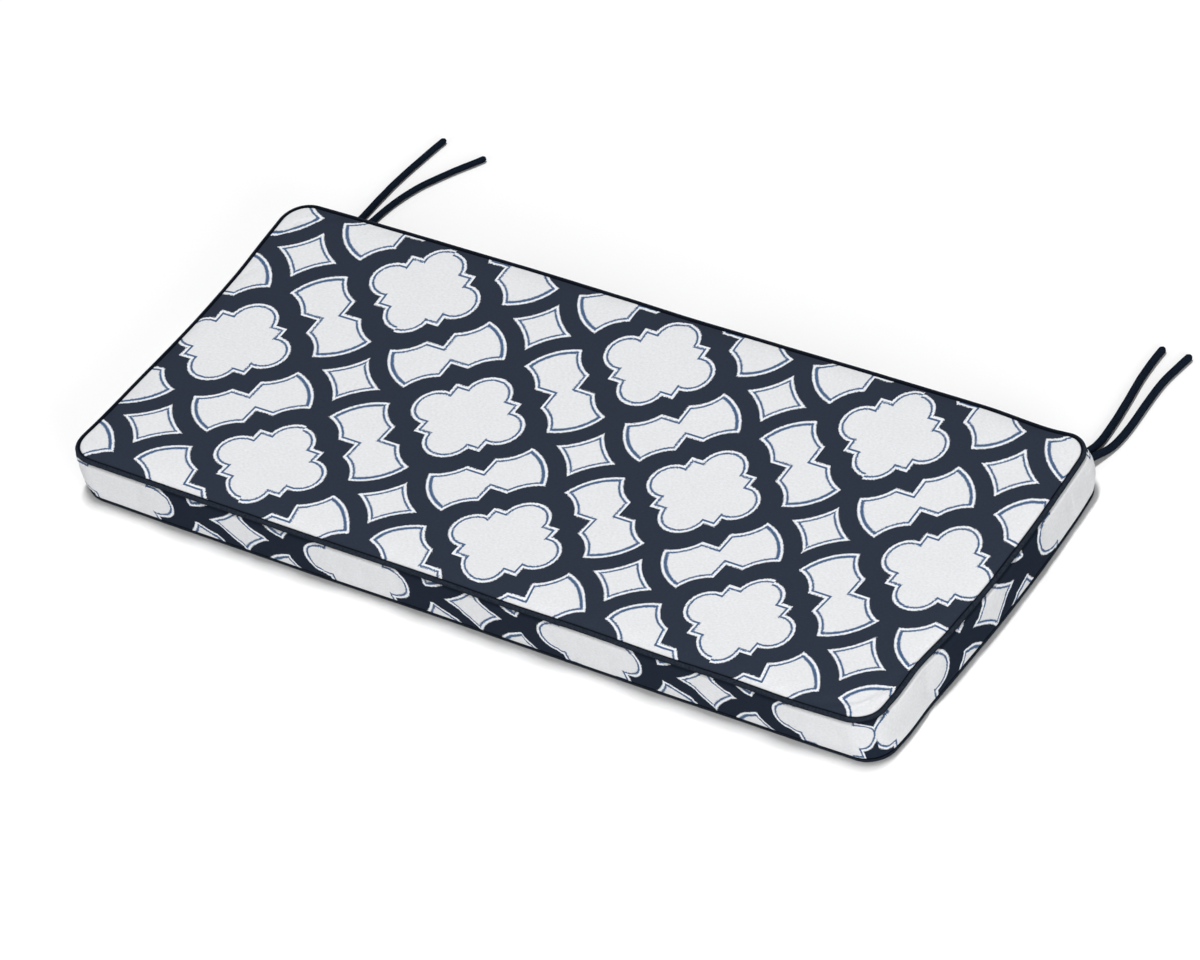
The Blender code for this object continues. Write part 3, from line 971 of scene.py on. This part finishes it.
@dataclass
class Pad:
    """The filled pad in its printed cover: top panel, boxing strip and bottom panel."""

    shape: CoverShape
    layout: PrintLayout
    finish: TrellisCloth
    boxing_rows: int = 12
    tucked_rows: int = 3  # how many rows of each cove are boxing cloth
    cove_step_deg: float = 30.0
    top_cove_deg: Pair = (-60.0, -212.0)
    bottom_cove_deg: Pair = (220.0, 60.0)
    boxing_rise: float = 1.7
    boxing_drop: float = 2.0
    panel_insets: tuple[float, ...] = (0.0045, 0.0065, 0.009, 0.012, 0.016, 0.021)
    join_deg: float = 50.6
    points: list[np.ndarray] = field(default_factory=list)
    flats: list[np.ndarray] = field(default_factory=list)
    held: list[np.ndarray] = field(default_factory=list)
    total: int = 0

    def add(self, points: np.ndarray, flat: np.ndarray, held: float) -> np.ndarray:
        """Adds vertices.

        Args:
            points: Where they lie.
            flat: The same points in the true box.
            held: How firmly a simulation holds them, 0 to 1.

        Returns:
            Their indices.
        """
        count = len(points)
        self.points.append(points)
        self.flats.append(flat)
        self.held.append(np.full(count, held))
        first = self.total
        self.total += count
        return np.arange(first, first + count)

    def cove(self, radii: Radii, centre_z: float, span: Pair, top_share: float) -> list[np.ndarray]:
        """Lays loops of vertices round a length of piping.

        Args:
            radii: The piping's corner radii.
            centre_z: Height of its centreline.
            span: First and last angle round it, in degrees.
            top_share: 0 at the bottom seam, 1 at the top one.

        Returns:
            The loops' vertex indices.
        """
        shape = self.shape
        steps = max(1, round(abs(span[1] - span[0]) / self.cove_step_deg))
        loops = []
        for angle in np.radians(np.linspace(span[0], span[1], steps + 1)):
            flat = shape.outline(radii, shape.cove_radius * math.cos(angle))
            height = centre_z + shape.cove_radius * math.sin(angle)
            loops.append(self.add(shape.settle(flat, height, top_share), flat, 1.0))
        return loops

    def boxing(self) -> list[np.ndarray]:
        """Lays the loops of the boxing strip, fuller at the back right corner.

        Returns:
            The loops' vertex indices, from the bottom up.
        """
        shape = self.shape
        low = shape.bottom_z + self.boxing_rise * shape.piping_radius
        high = shape.top_z - self.boxing_drop * shape.piping_radius
        corner = np.array((shape.length / 2, shape.width / 2))
        loops = []
        for row in range(self.boxing_rows + 1):
            share = row / self.boxing_rows
            swell = math.sin(math.pi * share)
            radii = shape.blended_corners(share)
            inner = shape.outline(radii, shape.overhang + shape.bulge * swell)
            outer = shape.outline(radii, shape.overhang + (shape.bulge + shape.corner_bulge) * swell)
            near = np.exp(-(np.linalg.norm(inner - corner, axis=1) / shape.corner_reach) ** 2)[:, None]
            flat = inner + (outer - inner) * near
            height = low + (high - low) * share
            edge = row in (0, self.boxing_rows)
            loops.append(self.add(shape.settle(flat, height, share), flat, 1.0 if edge else 0.0))
        return loops

    def panel_loops(self) -> list[np.ndarray]:
        """Lays the loops of the top panel near its seam.

        Returns:
            The loops' vertex indices, from the seam inwards.
        """
        shape = self.shape
        loops = []
        for inset in self.panel_insets:
            flat = shape.outline(shape.top_corners, -inset)
            height = shape.panel_height(flat, inset)
            loops.append(self.add(shape.settle(flat, height, 1.0), flat, 0.0))
        return loops

    def fill(self, rim: np.ndarray, radii: Radii, inset: float, top: bool) -> np.ndarray:
        """Fills a panel inside a loop of vertices with a grid stretched between its four sides.

        Args:
            rim: The loop's vertex indices.
            radii: Corner radii of the loop's outline.
            inset: How far in the loop lies.
            top: Whether this is the top panel.

        Returns:
            The grid's quads, which face up.
        """
        shape = self.shape
        short = shape.short_steps + shape.corner_steps
        long_ = shape.long_steps + shape.corner_steps
        order = np.append(np.arange(len(rim)), 0)
        left = order[:short + 1][::-1]
        front = order[short:short + long_ + 1]
        right = order[short + long_:2 * short + long_ + 1]
        back = order[2 * short + long_:][::-1]
        outline = shape.outline(radii, -inset)
        u = np.linspace(0, 1, long_ + 1)[None, :, None]
        v = np.linspace(0, 1, short + 1)[:, None, None]
        low, high, first, last = (outline[side] for side in (front, back, left, right))
        ruled = (1 - v) * low[None] + v * high[None] + (1 - u) * first[:, None] + u * last[:, None]
        corners = ((1 - u) * (1 - v) * low[0] + u * (1 - v) * low[-1]
                   + (1 - u) * v * high[0] + u * v * high[-1])
        plan = ruled - corners
        inner = plan[1:-1, 1:-1].reshape(-1, 2)
        if top:
            depth = inset + self.depth_inside(plan)[1:-1, 1:-1].reshape(-1)
            placed = shape.settle(inner, shape.panel_height(inner, depth), 1.0)
        else:
            placed = shape.settle(inner, 0.0, 0.0)
        index = np.empty((short + 1, long_ + 1), dtype=int)
        index[1:-1, 1:-1] = self.add(placed, inner, 0.0 if top else 1.0).reshape(short - 1, long_ - 1)
        index[0], index[-1] = rim[front], rim[back]
        index[:, 0], index[:, -1] = rim[left], rim[right]
        quads = (index[:-1, :-1], index[:-1, 1:], index[1:, 1:], index[1:, :-1])
        return np.stack(quads, axis=-1).reshape(-1, 4)

    @staticmethod
    def depth_inside(plan: np.ndarray) -> np.ndarray:
        """Measures how deep each point of a grid lies inside it.

        Args:
            plan: The grid's points, rows along X.

        Returns:
            Distances from the nearest side of the grid.
        """
        x, y = plan[..., 0], plan[..., 1]
        along = np.minimum(x - x[:, :1], x[:, -1:] - x)
        across = np.minimum(y - y[:1], y[-1:] - y)
        return np.maximum(np.minimum(along, across), 0.0)

    @staticmethod
    def bridge(lower: np.ndarray, upper: np.ndarray) -> np.ndarray:
        """Quads between two loops of vertices."""
        return np.stack((lower, np.roll(lower, -1), np.roll(upper, -1), upper), axis=1)

    def boxing_walk(self) -> tuple[np.ndarray, float, float, float]:
        """Distance along the boxing from its first point, and the marks that its print is laid from.

        Returns:
            The walk with one value more than there are points, the middle of the front side, the
            middle of the right side, and the join of the print at the front right corner.
        """
        shape = self.shape
        radii = shape.blended_corners(0.5)
        line = shape.outline(radii, shape.overhang + shape.bulge)
        steps = np.linalg.norm(np.roll(line, -1, axis=0) - line, axis=1)
        walk = np.concatenate(([0.0], np.cumsum(steps)))
        corner = shape.corner_steps // 2 + shape.short_steps + shape.corner_steps + shape.long_steps
        front = walk[corner] - (shape.length / 2 - radii[2])
        right = walk[corner + shape.corner_steps] + shape.width / 2 - radii[2]
        join = corner + round(shape.corner_steps * self.join_deg / 90.0)
        return walk, front, right, walk[join]

    def print_map(self, faces: np.ndarray, regions: np.ndarray) -> np.ndarray:
        """Print coordinates of every face corner.

        Args:
            faces: The quads.
            regions: Each quad's region.

        Returns:
            One pair for each face corner.
        """
        shape, layout = self.shape, self.layout
        flat = np.concatenate(self.flats)
        placed = np.concatenate(self.points)
        count = len(self.flats[0])
        corners = flat[faces.reshape(-1)]
        pairs = layout.top(corners, shape.length / 2, shape.width / 2).reshape(*faces.shape, 2)
        boxed = np.flatnonzero(regions == Region.BOXING)
        walk, front, right, join = self.boxing_walk()
        rows = faces[boxed]
        place = rows % count
        last = place.max(axis=1, keepdims=True) == count - 1
        along = walk[np.where((place == 0) & last, count, place)]
        height = placed[rows][..., 2] - shape.bottom_z
        on_front = along.mean(axis=1) < join
        for strip, middle, chosen in ((layout.front, front, on_front), (layout.right, right, ~on_front)):
            away = (along[chosen] - middle).reshape(-1)
            found = strip.place(away, height[chosen].reshape(-1), layout.pitch_y)
            pairs[boxed[chosen]] = found.reshape(-1, 4, 2)
        return pairs.reshape(-1, 2)

    def build(self) -> bpy.types.Object:
        """Builds the pad's mesh with its print map.

        Returns:
            The pad.
        """
        shape = self.shape
        base = shape.outline(shape.bottom_corners, -shape.bottom_inset)
        loops = [self.add(shape.settle(base, 0.0, 0.0), base, 1.0)]
        loops += self.cove(shape.bottom_corners, shape.bottom_z, self.bottom_cove_deg, 0.0)
        first_boxing = len(loops)
        loops += self.boxing()
        last_boxing = len(loops) - 1
        loops += self.cove(shape.top_corners, shape.top_z, self.top_cove_deg, 1.0)
        loops += self.panel_loops()
        quads, regions = [], []
        for index, (lower, upper) in enumerate(zip(loops, loops[1:])):
            ring = self.bridge(lower, upper)
            kind = Region.BOXING if index < last_boxing + self.tucked_rows else Region.TOP
            kind = Region.BOTTOM if index < first_boxing - self.tucked_rows else kind
            quads.append(ring)
            regions.append(np.full(len(ring), kind))
        top = self.fill(loops[-1], shape.top_corners, self.panel_insets[-1], True)
        bottom = self.fill(loops[0], shape.bottom_corners, shape.bottom_inset, False)[:, ::-1]
        quads += [top, bottom]
        regions += [np.full(len(top), Region.TOP), np.full(len(bottom), Region.BOTTOM)]
        faces = np.concatenate(quads)
        mesh = bpy.data.meshes.new("cushion_pad")
        mesh.from_pydata(np.concatenate(self.points).tolist(), [], faces.tolist())
        region = np.concatenate(regions)
        uv = mesh.uv_layers.new(name=self.finish.map_name)
        uv.data.foreach_set("uv", self.print_map(faces, region).astype(np.float32).ravel())
        # painted sheen: marks the top panel's faces, on which the cloth paints a lighter navy
        top_painted_sheen = mesh.attributes.new("top_painted_sheen", "FLOAT", "FACE")
        top_painted_sheen.data.foreach_set("value", (region == Region.TOP).astype(np.float32))
        mesh.shade_smooth()
        mesh.materials.append(self.finish.make())
        return add_object(mesh.name, mesh)


@dataclass(frozen=True)
class Filling:
    """Swells the cover with a cloth simulation, as its filling does."""

    pressure: float = 1.5
    shrink: float = -0.006
    stretch_stiffness: float = 15.0
    bend_stiffness: float = 0.5
    pin_stiffness: float = 10.0
    mass: float = 0.3
    quality: int = 5
    frames: int = 18
    cap: float = 0.0020

    def swell(self, pad: bpy.types.Object, held: np.ndarray) -> None:
        """Runs the simulation and applies it, with a soft limit on how far a point may move.

        Args:
            pad: The cover's object.
            held: How firmly each vertex is held, 0 to 1.
        """
        mesh = pad.data
        start = np.empty(3 * len(mesh.vertices))
        mesh.vertices.foreach_get("co", start)
        group = pad.vertex_groups.new(name="held")
        group.add(np.flatnonzero(held > 0.5).tolist(), 1.0, "REPLACE")
        cloth = pad.modifiers.new("filling", "CLOTH")
        self.settle_cloth(cloth.settings, group.name)
        cloth.point_cache.frame_start = 1
        cloth.point_cache.frame_end = self.frames
        scene = bpy.context.scene
        for frame in range(1, self.frames + 1):
            scene.frame_set(frame)
        graph = bpy.context.evaluated_depsgraph_get()
        moved = np.empty_like(start)
        pad.evaluated_get(graph).data.vertices.foreach_get("co", moved)
        step = (moved - start).reshape(-1, 3)
        far = np.linalg.norm(step, axis=1, keepdims=True)
        step = step * self.cap * np.tanh(far / self.cap) / np.maximum(far, 1e-9)
        pad.modifiers.remove(cloth)
        pad.vertex_groups.remove(group)
        scene.frame_set(1)
        mesh.vertices.foreach_set("co", (start.reshape(-1, 3) + step).astype(np.float32).ravel())
        mesh.update()
        LOG.info("the filling lifts the cover by up to %.1f mm", float(step[:, 2].max()) / MM)

    def settle_cloth(self, settings: bpy.types.ClothSettings, group: str) -> None:
        """Sets the cloth's stiffness and its pressure, with no gravity.

        Args:
            settings: The simulation's settings.
            group: Name of the group of held vertices.
        """
        settings.quality = self.quality
        settings.mass = self.mass
        settings.tension_stiffness = settings.compression_stiffness = self.stretch_stiffness
        settings.shear_stiffness = self.stretch_stiffness / 3
        settings.bending_stiffness = self.bend_stiffness
        settings.vertex_group_mass = group
        settings.pin_stiffness = self.pin_stiffness
        settings.use_pressure = True
        settings.uniform_pressure_force = self.pressure
        settings.shrink_min = self.shrink
        settings.effector_weights.gravity = 0.0


@dataclass
class Piping:
    """One ring of corded piping, round the top or the bottom edge."""

    name: str
    shape: CoverShape
    tube: CordTube
    top: bool

    @property
    def lit_side_deg(self) -> float:
        """Angle over the floor of the middle of the cord's open side, where the cord's painted shade is
        lightest.
        """
        return 44.0 if self.top else -15.0

    def build(self, cloth: bpy.types.Material) -> bpy.types.Object:
        """Sweeps the piping along its seam.

        Args:
            cloth: The piping's material.

        Returns:
            The ring.
        """
        shape = self.shape
        radii = shape.top_corners if self.top else shape.bottom_corners
        height = shape.top_z if self.top else shape.bottom_z
        path = shape.settle(shape.outline(radii, 0.0), height, 1.0 if self.top else 0.0)
        ring = self.tube.sweep(
            self.name, path, True, spacing=0.0035, half_width=shape.piping_radius, flatness=1.0,
            wander=0.0003, wander_length=0.02, end_rounding=0.0, seed=3.0 if self.top else 2.0,
            sides=18, cloth=cloth)
        self.mark_facing_light(ring.data, path)
        return ring

    def mark_facing_light(self, mesh: bpy.types.Mesh, path: np.ndarray) -> None:
        """Stores how far each point faces towards the cord's lit open side and away from the crevices at
        the two seams beside it, from -1 to 1; the cloth paints shade from this.

        Args:
            mesh: The ring's mesh.
            path: The seam that it follows.
        """
        along = np.roll(path, -1, axis=0) - np.roll(path, 1, axis=0)
        outward = np.stack((along[:, 1], -along[:, 0]), axis=1)
        outward /= np.linalg.norm(outward, axis=1, keepdims=True)
        tree = KDTree(len(path))
        for number, point in enumerate(path):
            tree.insert(point, number)
        tree.balance()
        facing = math.radians(self.lit_side_deg)
        facing_light = []
        for vertex in mesh.vertices:
            near = tree.find(vertex.co)[1]
            away = np.array(vertex.co) - path[near]
            out = float(away[:2] @ outward[near])
            facing_light.append(math.cos(math.atan2(float(away[2]), out) - facing))
        mesh.attributes.new("facing_light", "FLOAT", "POINT").data.foreach_set("value", facing_light)


# Each tie's route, from its seam in the boxing to its cut end: (x, y, z).
TIE_ROUTES = {
    "tie_left_a": (
        (-0.5720, 0.2592, 0.0120), (-0.5719, 0.2657, 0.0118), (-0.5718, 0.2738, 0.0109),
        (-0.5718, 0.2827, 0.0092), (-0.5717, 0.2917, 0.0072), (-0.5716, 0.3007, 0.0056),
        (-0.5716, 0.3107, 0.0048), (-0.5717, 0.3217, 0.0047), (-0.5717, 0.3338, 0.0047),
        (-0.5717, 0.3467, 0.0047), (-0.5713, 0.3607, 0.0047), (-0.5709, 0.3747, 0.0047),
        (-0.5699, 0.3887, 0.0047), (-0.5686, 0.4027, 0.0047), (-0.5671, 0.4157, 0.0047),
        (-0.5654, 0.4277, 0.0047), (-0.5638, 0.4407, 0.0047), (-0.5619, 0.4537, 0.0047),
        (-0.5599, 0.4667, 0.0047), (-0.5576, 0.4792, 0.0047),
    ),
    "tie_left_b": (
        (-0.5605, 0.2592, 0.0120), (-0.5600, 0.2657, 0.0118), (-0.5593, 0.2738, 0.0109),
        (-0.5583, 0.2827, 0.0092), (-0.5570, 0.2917, 0.0072), (-0.5556, 0.3007, 0.0056),
        (-0.5540, 0.3107, 0.0048), (-0.5525, 0.3227, 0.0047), (-0.5506, 0.3348, 0.0047),
        (-0.5479, 0.3477, 0.0047), (-0.5448, 0.3597, 0.0047), (-0.5408, 0.3717, 0.0047),
        (-0.5357, 0.3847, 0.0047), (-0.5298, 0.3968, 0.0047), (-0.5233, 0.4077, 0.0047),
        (-0.5159, 0.4197, 0.0047), (-0.5075, 0.4327, 0.0047), (-0.4990, 0.4447, 0.0047),
        (-0.4910, 0.4557, 0.0047), (-0.4825, 0.4682, 0.0047),
    ),
    "tie_right_a": (
        (0.5591, 0.2595, 0.0124), (0.5602, 0.2657, 0.0122), (0.5614, 0.2738, 0.0113),
        (0.5629, 0.2827, 0.0096), (0.5643, 0.2917, 0.0076), (0.5653, 0.3007, 0.0060),
        (0.5657, 0.3107, 0.0052), (0.5654, 0.3227, 0.0051), (0.5646, 0.3348, 0.0051),
        (0.5635, 0.3477, 0.0051), (0.5621, 0.3607, 0.0051), (0.5604, 0.3747, 0.0051),
        (0.5585, 0.3887, 0.0051), (0.5565, 0.4027, 0.0051), (0.5546, 0.4157, 0.0051),
        (0.5532, 0.4277, 0.0051), (0.5523, 0.4407, 0.0051), (0.5517, 0.4537, 0.0051),
        (0.5515, 0.4677, 0.0051), (0.5517, 0.4812, 0.0051),
    ),
    "tie_right_b": (
        (0.5701, 0.2600, 0.0124), (0.5717, 0.2657, 0.0122), (0.5739, 0.2738, 0.0113),
        (0.5767, 0.2827, 0.0096), (0.5797, 0.2917, 0.0076), (0.5823, 0.3007, 0.0060),
        (0.5845, 0.3107, 0.0052), (0.5859, 0.3227, 0.0051), (0.5864, 0.3348, 0.0051),
        (0.5861, 0.3477, 0.0051), (0.5854, 0.3607, 0.0051), (0.5845, 0.3747, 0.0051),
        (0.5836, 0.3887, 0.0051), (0.5828, 0.4027, 0.0051), (0.5824, 0.4157, 0.0051),
        (0.5826, 0.4277, 0.0051), (0.5837, 0.4407, 0.0051), (0.5856, 0.4537, 0.0051),
        (0.5878, 0.4677, 0.0051), (0.5901, 0.4812, 0.0051),
    ),
}


@dataclass
class Tie:
    """One narrow fabric tie: a turned tube of cloth, sewn into the boxing and cut off plain."""

    node: str
    diameter: float
    tube: CordTube
    seed: float
    stretch_points: int = 9  # of the smooth curve, from each of the route's points to the next

    def smooth_path(self) -> np.ndarray:
        """Lays one smooth curve through the route's points.

        Returns:
            Dense points along it, one row each.
        """
        knots = [Vector(point) for point in TIE_ROUTES[self.node]]
        last = len(knots) - 1
        tangents = [(knots[min(i + 1, last)] - knots[max(i - 1, 0)]) / 2 for i in range(last + 1)]
        dense = [knots[0]]
        for i in range(last):
            handle_a = knots[i] + tangents[i] / 3
            handle_b = knots[i + 1] - tangents[i + 1] / 3
            dense += interpolate_bezier(
                knots[i], handle_a, handle_b, knots[i + 1], self.stretch_points)[1:]
        return np.array([tuple(point) for point in dense])

    def build(self, cloth: bpy.types.Material) -> bpy.types.Object:
        """Args:
            cloth: The tie's material.

        Returns:
            The tie.
        """
        path = self.smooth_path()
        tie = self.tube.sweep(
            self.node.replace("tie", "cloth_tie"), path, False, spacing=0.003,
            half_width=self.diameter / 2, flatness=0.96, wander=0.0004, wander_length=0.015,
            end_rounding=0.0022, seed=self.seed, sides=18, cloth=cloth)
        return tie


@dataclass(frozen=True)
class Studio:
    """The camera at the photograph's angle, the floor and the soft lights."""

    aim: Triple = (0.01510, 0.02134, 0.00122)
    azimuth_deg: float = 46.113
    elevation_deg: float = 41.455
    roll_deg: float = -16.592
    distance: float = 7.6814
    lens_mm: float = 188.046
    sensor_mm: float = 36.0
    floor_size: float = 40.0
    sky_strength: float = 0.30

    def camera(self) -> None:
        """Makes the scene's camera."""
        data = bpy.data.cameras.new("photo_angle")
        data.sensor_width = self.sensor_mm
        data.lens = self.lens_mm
        data.clip_end = 100.0
        camera = add_object(data.name, data)
        stand = Matrix.Translation(self.aim)
        for degrees, axis in (
                (self.azimuth_deg, "Z"), (90.0 - self.elevation_deg, "X"), (self.roll_deg, "Z")):
            stand = stand @ Matrix.Rotation(math.radians(degrees), 4, axis)
        camera.matrix_world = stand @ Matrix.Translation((0.0, 0.0, self.distance))
        bpy.context.scene.camera = camera

    def floor(self) -> None:
        """Lays the pale floor at the height on which the cushion rests."""
        half = self.floor_size / 2
        mesh = bpy.data.meshes.new("studio_floor")
        corners = [(-half, -half, 0.0), (half, -half, 0.0), (half, half, 0.0), (-half, half, 0.0)]
        mesh.from_pydata(corners, [], [(0, 1, 2, 3)])
        mesh.materials.append(PaleFloor("studio_floor").make())
        add_object(mesh.name, mesh)

    def lamp(self, name: str, place: Triple, size: Pair, power: float) -> None:
        """Hangs a rectangular soft light that looks at the cushion.

        Args:
            name: The light's name.
            place: Where it hangs.
            size: Its width and height.
            power: Its power in watts.
        """
        data = bpy.data.lights.new(name, "AREA")
        data.shape = "RECTANGLE"
        data.size, data.size_y = size
        data.energy = power
        lamp = add_object(name, data)
        lamp.location = place
        lamp.rotation_mode = "QUATERNION"
        lamp.rotation_quaternion = Vector(place).to_track_quat("Z", "Y")

    def lights(self) -> None:
        """Sets a pale sky, a main lamp high above the cushion and two low soft ones."""
        world = bpy.data.worlds.new("studio")
        world.use_nodes = True
        background = world.node_tree.nodes["Background"]
        background.inputs["Color"].default_value = (1.0, 1.0, 1.0, 1.0)
        background.inputs["Strength"].default_value = self.sky_strength
        bpy.context.scene.world = world
        self.lamp("main_light", place=(-0.3, 2.2, 18.0), size=(1.5, 5.6), power=2640.0)
        self.lamp("right_fill", place=(4.2, -2.4, 1.5), size=(2.4, 2.4), power=117.0)
        self.lamp("front_fill", place=(-1.2, -4.6, 1.3), size=(2.4, 2.4), power=65.0)

    def build(self) -> None:
        """Sets up the whole studio."""
        self.camera()
        self.floor()
        self.lights()
        bpy.context.scene.view_settings.view_transform = "Standard"
        bpy.context.scene.view_settings.look = "None"


@dataclass
class BenchCushion:
    """The whole cushion, in the order in which it is made."""

    shape: CoverShape = field(default_factory=CoverShape)
    layout: PrintLayout = field(default_factory=PrintLayout)
    tie_sizes: tuple[tuple[str, float], ...] = (
        ("tie_left_a", 0.0090), ("tie_left_b", 0.0086), ("tie_right_a", 0.0100), ("tie_right_b", 0.0100))

    def hang(self, piece: bpy.types.Object, node: str) -> None:
        """Seats a piece on the frame in place of its plain solid.

        Args:
            piece: The finished piece.
            node: The CAD node that it stands for.
        """
        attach(piece, BODY)
        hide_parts(node)
        LOG.info("%s stands for %s with %d faces", piece.name, node, len(piece.data.polygons))

    def build(self) -> None:
        """Builds every piece."""
        tube = CordTube("cloth_tube")
        tie_cloth = CordCloth("tie_cloth_woven", colour=(0.0022, 0.0050, 0.0105),
                              fleck=(0.0050, 0.0105, 0.0200)).make()
        for number, (node, diameter) in enumerate(self.tie_sizes):
            tie = Tie(node, diameter, tube, 5.0 + number)
            self.hang(tie.build(tie_cloth), node)
        # the piping cloth paints shade into the crevices beside its seams
        piping_cloth = CordCloth("piping_cloth_bias", bias_deg=45.0, paint_crevice_shade=True).make()
        for node, top in (("piping_top", True), ("piping_bottom", False)):
            piping = Piping("corded_" + node, self.shape, tube, top)
            self.hang(piping.build(piping_cloth), node)
        pad = Pad(self.shape, self.layout, TrellisCloth("trellis_cloth"))
        cushion = pad.build()
        Filling().swell(cushion, np.concatenate(pad.held))
        self.hang(cushion, "cushion")


def main() -> None:
    """Loads the frame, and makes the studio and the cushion."""
    logging.basicConfig(level=logging.INFO, format="%(name)s: %(message)s")
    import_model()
    Studio().build()
    BenchCushion().build()


if __name__ == "__main__":
    main()
